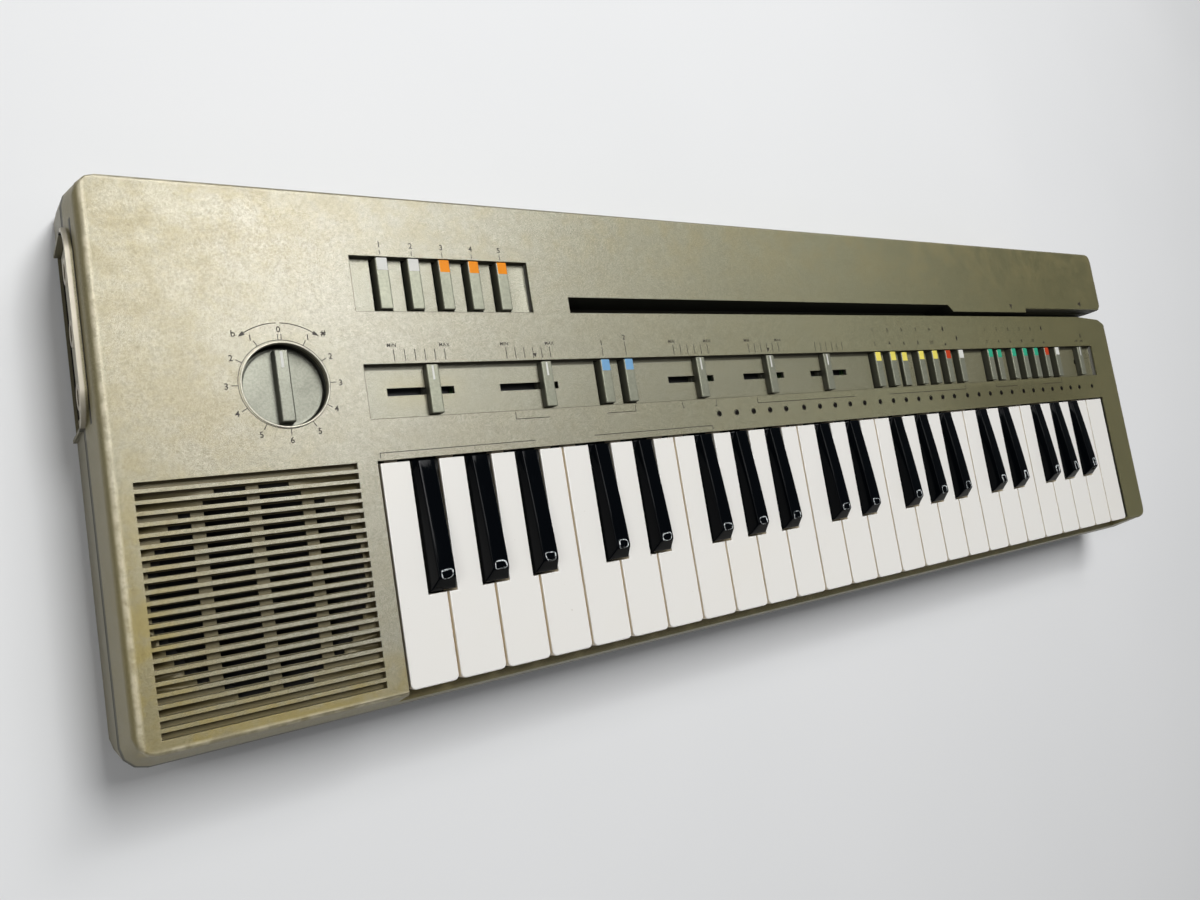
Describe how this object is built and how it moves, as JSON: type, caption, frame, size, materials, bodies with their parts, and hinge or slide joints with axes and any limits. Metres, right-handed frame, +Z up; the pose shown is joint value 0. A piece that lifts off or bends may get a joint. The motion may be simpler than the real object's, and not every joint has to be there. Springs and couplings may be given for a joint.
{
  "type": "portable keyboard",
  "caption": "Portable mini-key electronic keyboard with built-in speaker, sliders, push buttons, transposer knob, card trench, side sockets and sprung keys.",
  "frame": {"origin": "centre of the footprint at the undersides of the feet", "axes": "+X along the keys towards the highest note, +Y from the player to the rear, +Z up"},
  "size_m": [0.6112, 0.1914, 0.0518],
  "materials": {
    "painted_case": "satin metallic paint",
    "control_silver": "satin silver paint",
    "white_key": "satin",
    "black_key": "gloss",
    "frame": "matte",
    "circuit_board": "satin",
    "socket_plate": "matte",
    "speaker": "matte black"
  },
  "bodies": {
    "casing": {"top_case": "painted_case", "bottom_case": "painted_case", "socket_panel": "socket_plate", "key_frame": "frame", "main_circuit_board": "circuit_board", "control_board": "control_silver", "card_button_board": "control_silver", "loudspeaker": "speaker"},
    "transposer_knob": {"transposer_knob": "control_silver"},
    "master_volume_slider": {"master_volume_slider": "control_silver"},
    "chord_volume_slider": {"chord_volume_slider": "control_silver"},
    "arpeggio_volume_slider": {"arpeggio_volume_slider": "control_silver"},
    "rhythm_volume_slider": {"rhythm_volume_slider": "control_silver"},
    "tempo_slider": {"tempo_slider": "control_silver"},
    "power_switch": {"power_switch": "control_silver"},
    "battery_cover": {"battery_cover": "painted_case"},
    "white_key_01": {"white_key_01": "white_key"},
    "white_key_02": {"white_key_02": "white_key"},
    "white_key_03": {"white_key_03": "white_key"},
    "white_key_04": {"white_key_04": "white_key"},
    "white_key_05": {"white_key_05": "white_key"},
    "white_key_06": {"white_key_06": "white_key"},
    "white_key_07": {"white_key_07": "white_key"},
    "white_key_08": {"white_key_08": "white_key"},
    "white_key_09": {"white_key_09": "white_key"},
    "white_key_10": {"white_key_10": "white_key"},
    "white_key_11": {"white_key_11": "white_key"},
    "white_key_12": {"white_key_12": "white_key"},
    "white_key_13": {"white_key_13": "white_key"},
    "white_key_14": {"white_key_14": "white_key"},
    "white_key_15": {"white_key_15": "white_key"},
    "white_key_16": {"white_key_16": "white_key"},
    "white_key_17": {"white_key_17": "white_key"},
    "white_key_18": {"white_key_18": "white_key"},
    "white_key_19": {"white_key_19": "white_key"},
    "white_key_20": {"white_key_20": "white_key"},
    "white_key_21": {"white_key_21": "white_key"},
    "white_key_22": {"white_key_22": "white_key"},
    "white_key_23": {"white_key_23": "white_key"},
    "white_key_24": {"white_key_24": "white_key"},
    "white_key_25": {"white_key_25": "white_key"},
    "white_key_26": {"white_key_26": "white_key"},
    "black_key_01": {"black_key_01": "black_key"},
    "black_key_02": {"black_key_02": "black_key"},
    "black_key_03": {"black_key_03": "black_key"},
    "black_key_04": {"black_key_04": "black_key"},
    "black_key_05": {"black_key_05": "black_key"},
    "black_key_06": {"black_key_06": "black_key"},
    "black_key_07": {"black_key_07": "black_key"},
    "black_key_08": {"black_key_08": "black_key"},
    "black_key_09": {"black_key_09": "black_key"},
    "black_key_10": {"black_key_10": "black_key"},
    "black_key_11": {"black_key_11": "black_key"},
    "black_key_12": {"black_key_12": "black_key"},
    "black_key_13": {"black_key_13": "black_key"},
    "black_key_14": {"black_key_14": "black_key"},
    "black_key_15": {"black_key_15": "black_key"},
    "black_key_16": {"black_key_16": "black_key"},
    "black_key_17": {"black_key_17": "black_key"},
    "black_key_18": {"black_key_18": "black_key"}
  },
  "joints": [
    {"name": "transposer_turn", "type": "hinge", "parent": "casing", "child": "transposer_knob", "pos_m": [-0.2456, 0.01915, 0.042], "axis": [0, 0, 1], "range_deg": [-180, 150]},
    {"name": "master_volume_slide", "type": "slide", "parent": "casing", "child": "master_volume_slider", "axis": [1, 0, 0], "range_m": [-0.01399, 0.00601]},
    {"name": "chord_volume_slide", "type": "slide", "parent": "casing", "child": "chord_volume_slider", "axis": [1, 0, 0], "range_m": [-0.01705, 0.00295]},
    {"name": "arpeggio_volume_slide", "type": "slide", "parent": "casing", "child": "arpeggio_volume_slider", "axis": [1, 0, 0], "range_m": [-0.01395, 0.00605]},
    {"name": "rhythm_volume_slide", "type": "slide", "parent": "casing", "child": "rhythm_volume_slider", "axis": [1, 0, 0], "range_m": [-0.01244, 0.00756]},
    {"name": "tempo_slide", "type": "slide", "parent": "casing", "child": "tempo_slider", "axis": [1, 0, 0], "range_m": [-0.0066, 0.0134]},
    {"name": "power_slide", "type": "slide", "parent": "casing", "child": "power_switch", "axis": [1, 0, 0], "range_m": [0, 0.004]},
    {"name": "battery_cover_slide", "type": "slide", "parent": "casing", "child": "battery_cover", "axis": [0, 1, 0], "range_m": [0, 0.06]},
    {"name": "white_key_01_press", "type": "hinge", "parent": "casing", "child": "white_key_01", "pos_m": [-0.21118, -0.00185, 0.03955], "axis": [1, 0, 0], "range_deg": [0, 2.6], "stiffness_Nm_per_rad": 0.3, "springref_deg": -5.73},
    {"name": "white_key_02_press", "type": "hinge", "parent": "casing", "child": "white_key_02", "pos_m": [-0.18945, -0.00185, 0.03955], "axis": [1, 0, 0], "range_deg": [0, 2.6], "stiffness_Nm_per_rad": 0.3, "springref_deg": -5.73},
    {"name": "white_key_03_press", "type": "hinge", "parent": "casing", "child": "white_key_03", "pos_m": [-0.16795, -0.00185, 0.03955], "axis": [1, 0, 0], "range_deg": [0, 2.6], "stiffness_Nm_per_rad": 0.3, "springref_deg": -5.73},
    {"name": "white_key_04_press", "type": "hinge", "parent": "casing", "child": "white_key_04", "pos_m": [-0.14622, -0.00185, 0.03955], "axis": [1, 0, 0], "range_deg": [0, 2.6], "stiffness_Nm_per_rad": 0.3, "springref_deg": -5.73},
    {"name": "white_key_05_press", "type": "hinge", "parent": "casing", "child": "white_key_05", "pos_m": [-0.1344, -0.00185, 0.03955], "axis": [1, 0, 0], "range_deg": [0, 2.6], "stiffness_Nm_per_rad": 0.3, "springref_deg": -5.73},
    {"name": "white_key_06_press", "type": "hinge", "parent": "casing", "child": "white_key_06", "pos_m": [-0.11185, -0.00185, 0.03955], "axis": [1, 0, 0], "range_deg": [0, 2.6], "stiffness_Nm_per_rad": 0.3, "springref_deg": -5.73},
    {"name": "white_key_07_press", "type": "hinge", "parent": "casing", "child": "white_key_07", "pos_m": [-0.0893, -0.00185, 0.03955], "axis": [1, 0, 0], "range_deg": [0, 2.6], "stiffness_Nm_per_rad": 0.3, "springref_deg": -5.73},
    {"name": "white_key_08_press", "type": "hinge", "parent": "casing", "child": "white_key_08", "pos_m": [-0.07748, -0.00185, 0.03955], "axis": [1, 0, 0], "range_deg": [0, 2.6], "stiffness_Nm_per_rad": 0.3, "springref_deg": -5.73},
    {"name": "white_key_09_press", "type": "hinge", "parent": "casing", "child": "white_key_09", "pos_m": [-0.05575, -0.00185, 0.03955], "axis": [1, 0, 0], "range_deg": [0, 2.6], "stiffness_Nm_per_rad": 0.3, "springref_deg": -5.73},
    {"name": "white_key_10_press", "type": "hinge", "parent": "casing", "child": "white_key_10", "pos_m": [-0.03425, -0.00185, 0.03955], "axis": [1, 0, 0], "range_deg": [0, 2.6], "stiffness_Nm_per_rad": 0.3, "springref_deg": -5.73},
    {"name": "white_key_11_press", "type": "hinge", "parent": "casing", "child": "white_key_11", "pos_m": [-0.01252, -0.00185, 0.03955], "axis": [1, 0, 0], "range_deg": [0, 2.6], "stiffness_Nm_per_rad": 0.3, "springref_deg": -5.73},
    {"name": "white_key_12_press", "type": "hinge", "parent": "casing", "child": "white_key_12", "pos_m": [-0.0007, -0.00185, 0.03955], "axis": [1, 0, 0], "range_deg": [0, 2.6], "stiffness_Nm_per_rad": 0.3, "springref_deg": -5.73},
    {"name": "white_key_13_press", "type": "hinge", "parent": "casing", "child": "white_key_13", "pos_m": [0.02185, -0.00185, 0.03955], "axis": [1, 0, 0], "range_deg": [0, 2.6], "stiffness_Nm_per_rad": 0.3, "springref_deg": -5.73},
    {"name": "white_key_14_press", "type": "hinge", "parent": "casing", "child": "white_key_14", "pos_m": [0.0444, -0.00185, 0.03955], "axis": [1, 0, 0], "range_deg": [0, 2.6], "stiffness_Nm_per_rad": 0.3, "springref_deg": -5.73},
    {"name": "white_key_15_press", "type": "hinge", "parent": "casing", "child": "white_key_15", "pos_m": [0.05622, -0.00185, 0.03955], "axis": [1, 0, 0], "range_deg": [0, 2.6], "stiffness_Nm_per_rad": 0.3, "springref_deg": -5.73},
    {"name": "white_key_16_press", "type": "hinge", "parent": "casing", "child": "white_key_16", "pos_m": [0.07795, -0.00185, 0.03955], "axis": [1, 0, 0], "range_deg": [0, 2.6], "stiffness_Nm_per_rad": 0.3, "springref_deg": -5.73},
    {"name": "white_key_17_press", "type": "hinge", "parent": "casing", "child": "white_key_17", "pos_m": [0.09945, -0.00185, 0.03955], "axis": [1, 0, 0], "range_deg": [0, 2.6], "stiffness_Nm_per_rad": 0.3, "springref_deg": -5.73},
    {"name": "white_key_18_press", "type": "hinge", "parent": "casing", "child": "white_key_18", "pos_m": [0.12118, -0.00185, 0.03955], "axis": [1, 0, 0], "range_deg": [0, 2.6], "stiffness_Nm_per_rad": 0.3, "springref_deg": -5.73},
    {"name": "white_key_19_press", "type": "hinge", "parent": "casing", "child": "white_key_19", "pos_m": [0.133, -0.00185, 0.03955], "axis": [1, 0, 0], "range_deg": [0, 2.6], "stiffness_Nm_per_rad": 0.3, "springref_deg": -5.73},
    {"name": "white_key_20_press", "type": "hinge", "parent": "casing", "child": "white_key_20", "pos_m": [0.15555, -0.00185, 0.03955], "axis": [1, 0, 0], "range_deg": [0, 2.6], "stiffness_Nm_per_rad": 0.3, "springref_deg": -5.73},
    {"name": "white_key_21_press", "type": "hinge", "parent": "casing", "child": "white_key_21", "pos_m": [0.1781, -0.00185, 0.03955], "axis": [1, 0, 0], "range_deg": [0, 2.6], "stiffness_Nm_per_rad": 0.3, "springref_deg": -5.73},
    {"name": "white_key_22_press", "type": "hinge", "parent": "casing", "child": "white_key_22", "pos_m": [0.18993, -0.00185, 0.03955], "axis": [1, 0, 0], "range_deg": [0, 2.6], "stiffness_Nm_per_rad": 0.3, "springref_deg": -5.73},
    {"name": "white_key_23_press", "type": "hinge", "parent": "casing", "child": "white_key_23", "pos_m": [0.21165, -0.00185, 0.03955], "axis": [1, 0, 0], "range_deg": [0, 2.6], "stiffness_Nm_per_rad": 0.3, "springref_deg": -5.73},
    {"name": "white_key_24_press", "type": "hinge", "parent": "casing", "child": "white_key_24", "pos_m": [0.23315, -0.00185, 0.03955], "axis": [1, 0, 0], "range_deg": [0, 2.6], "stiffness_Nm_per_rad": 0.3, "springref_deg": -5.73},
    {"name": "white_key_25_press", "type": "hinge", "parent": "casing", "child": "white_key_25", "pos_m": [0.25488, -0.00185, 0.03955], "axis": [1, 0, 0], "range_deg": [0, 2.6], "stiffness_Nm_per_rad": 0.3, "springref_deg": -5.73},
    {"name": "white_key_26_press", "type": "hinge", "parent": "casing", "child": "white_key_26", "pos_m": [0.27015, -0.00185, 0.03955], "axis": [1, 0, 0], "range_deg": [0, 2.6], "stiffness_Nm_per_rad": 0.3, "springref_deg": -5.73},
    {"name": "black_key_01_press", "type": "hinge", "parent": "casing", "child": "black_key_01", "pos_m": [-0.2002, -0.00185, 0.03955], "axis": [1, 0, 0], "range_deg": [0, 2.6], "stiffness_Nm_per_rad": 0.3, "springref_deg": -5.73},
    {"name": "black_key_02_press", "type": "hinge", "parent": "casing", "child": "black_key_02", "pos_m": [-0.1787, -0.00185, 0.03955], "axis": [1, 0, 0], "range_deg": [0, 2.6], "stiffness_Nm_per_rad": 0.3, "springref_deg": -5.73},
    {"name": "black_key_03_press", "type": "hinge", "parent": "casing", "child": "black_key_03", "pos_m": [-0.1572, -0.00185, 0.03955], "axis": [1, 0, 0], "range_deg": [0, 2.6], "stiffness_Nm_per_rad": 0.3, "springref_deg": -5.73},
    {"name": "black_key_04_press", "type": "hinge", "parent": "casing", "child": "black_key_04", "pos_m": [-0.12305, -0.00185, 0.03955], "axis": [1, 0, 0], "range_deg": [0, 2.6], "stiffness_Nm_per_rad": 0.3, "springref_deg": -5.73},
    {"name": "black_key_05_press", "type": "hinge", "parent": "casing", "child": "black_key_05", "pos_m": [-0.10065, -0.00185, 0.03955], "axis": [1, 0, 0], "range_deg": [0, 2.6], "stiffness_Nm_per_rad": 0.3, "springref_deg": -5.73},
    {"name": "black_key_06_press", "type": "hinge", "parent": "casing", "child": "black_key_06", "pos_m": [-0.0665, -0.00185, 0.03955], "axis": [1, 0, 0], "range_deg": [0, 2.6], "stiffness_Nm_per_rad": 0.3, "springref_deg": -5.73},
    {"name": "black_key_07_press", "type": "hinge", "parent": "casing", "child": "black_key_07", "pos_m": [-0.045, -0.00185, 0.03955], "axis": [1, 0, 0], "range_deg": [0, 2.6], "stiffness_Nm_per_rad": 0.3, "springref_deg": -5.73},
    {"name": "black_key_08_press", "type": "hinge", "parent": "casing", "child": "black_key_08", "pos_m": [-0.0235, -0.00185, 0.03955], "axis": [1, 0, 0], "range_deg": [0, 2.6], "stiffness_Nm_per_rad": 0.3, "springref_deg": -5.73},
    {"name": "black_key_09_press", "type": "hinge", "parent": "casing", "child": "black_key_09", "pos_m": [0.01065, -0.00185, 0.03955], "axis": [1, 0, 0], "range_deg": [0, 2.6], "stiffness_Nm_per_rad": 0.3, "springref_deg": -5.73},
    {"name": "black_key_10_press", "type": "hinge", "parent": "casing", "child": "black_key_10", "pos_m": [0.03305, -0.00185, 0.03955], "axis": [1, 0, 0], "range_deg": [0, 2.6], "stiffness_Nm_per_rad": 0.3, "springref_deg": -5.73},
    {"name": "black_key_11_press", "type": "hinge", "parent": "casing", "child": "black_key_11", "pos_m": [0.0672, -0.00185, 0.03955], "axis": [1, 0, 0], "range_deg": [0, 2.6], "stiffness_Nm_per_rad": 0.3, "springref_deg": -5.73},
    {"name": "black_key_12_press", "type": "hinge", "parent": "casing", "child": "black_key_12", "pos_m": [0.0887, -0.00185, 0.03955], "axis": [1, 0, 0], "range_deg": [0, 2.6], "stiffness_Nm_per_rad": 0.3, "springref_deg": -5.73},
    {"name": "black_key_13_press", "type": "hinge", "parent": "casing", "child": "black_key_13", "pos_m": [0.1102, -0.00185, 0.03955], "axis": [1, 0, 0], "range_deg": [0, 2.6], "stiffness_Nm_per_rad": 0.3, "springref_deg": -5.73},
    {"name": "black_key_14_press", "type": "hinge", "parent": "casing", "child": "black_key_14", "pos_m": [0.14435, -0.00185, 0.03955], "axis": [1, 0, 0], "range_deg": [0, 2.6], "stiffness_Nm_per_rad": 0.3, "springref_deg": -5.73},
    {"name": "black_key_15_press", "type": "hinge", "parent": "casing", "child": "black_key_15", "pos_m": [0.16675, -0.00185, 0.03955], "axis": [1, 0, 0], "range_deg": [0, 2.6], "stiffness_Nm_per_rad": 0.3, "springref_deg": -5.73},
    {"name": "black_key_16_press", "type": "hinge", "parent": "casing", "child": "black_key_16", "pos_m": [0.2009, -0.00185, 0.03955], "axis": [1, 0, 0], "range_deg": [0, 2.6], "stiffness_Nm_per_rad": 0.3, "springref_deg": -5.73},
    {"name": "black_key_17_press", "type": "hinge", "parent": "casing", "child": "black_key_17", "pos_m": [0.2224, -0.00185, 0.03955], "axis": [1, 0, 0], "range_deg": [0, 2.6], "stiffness_Nm_per_rad": 0.3, "springref_deg": -5.73},
    {"name": "black_key_18_press", "type": "hinge", "parent": "casing", "child": "black_key_18", "pos_m": [0.2439, -0.00185, 0.03955], "axis": [1, 0, 0], "range_deg": [0, 2.6], "stiffness_Nm_per_rad": 0.3, "springref_deg": -5.73}
  ]
}
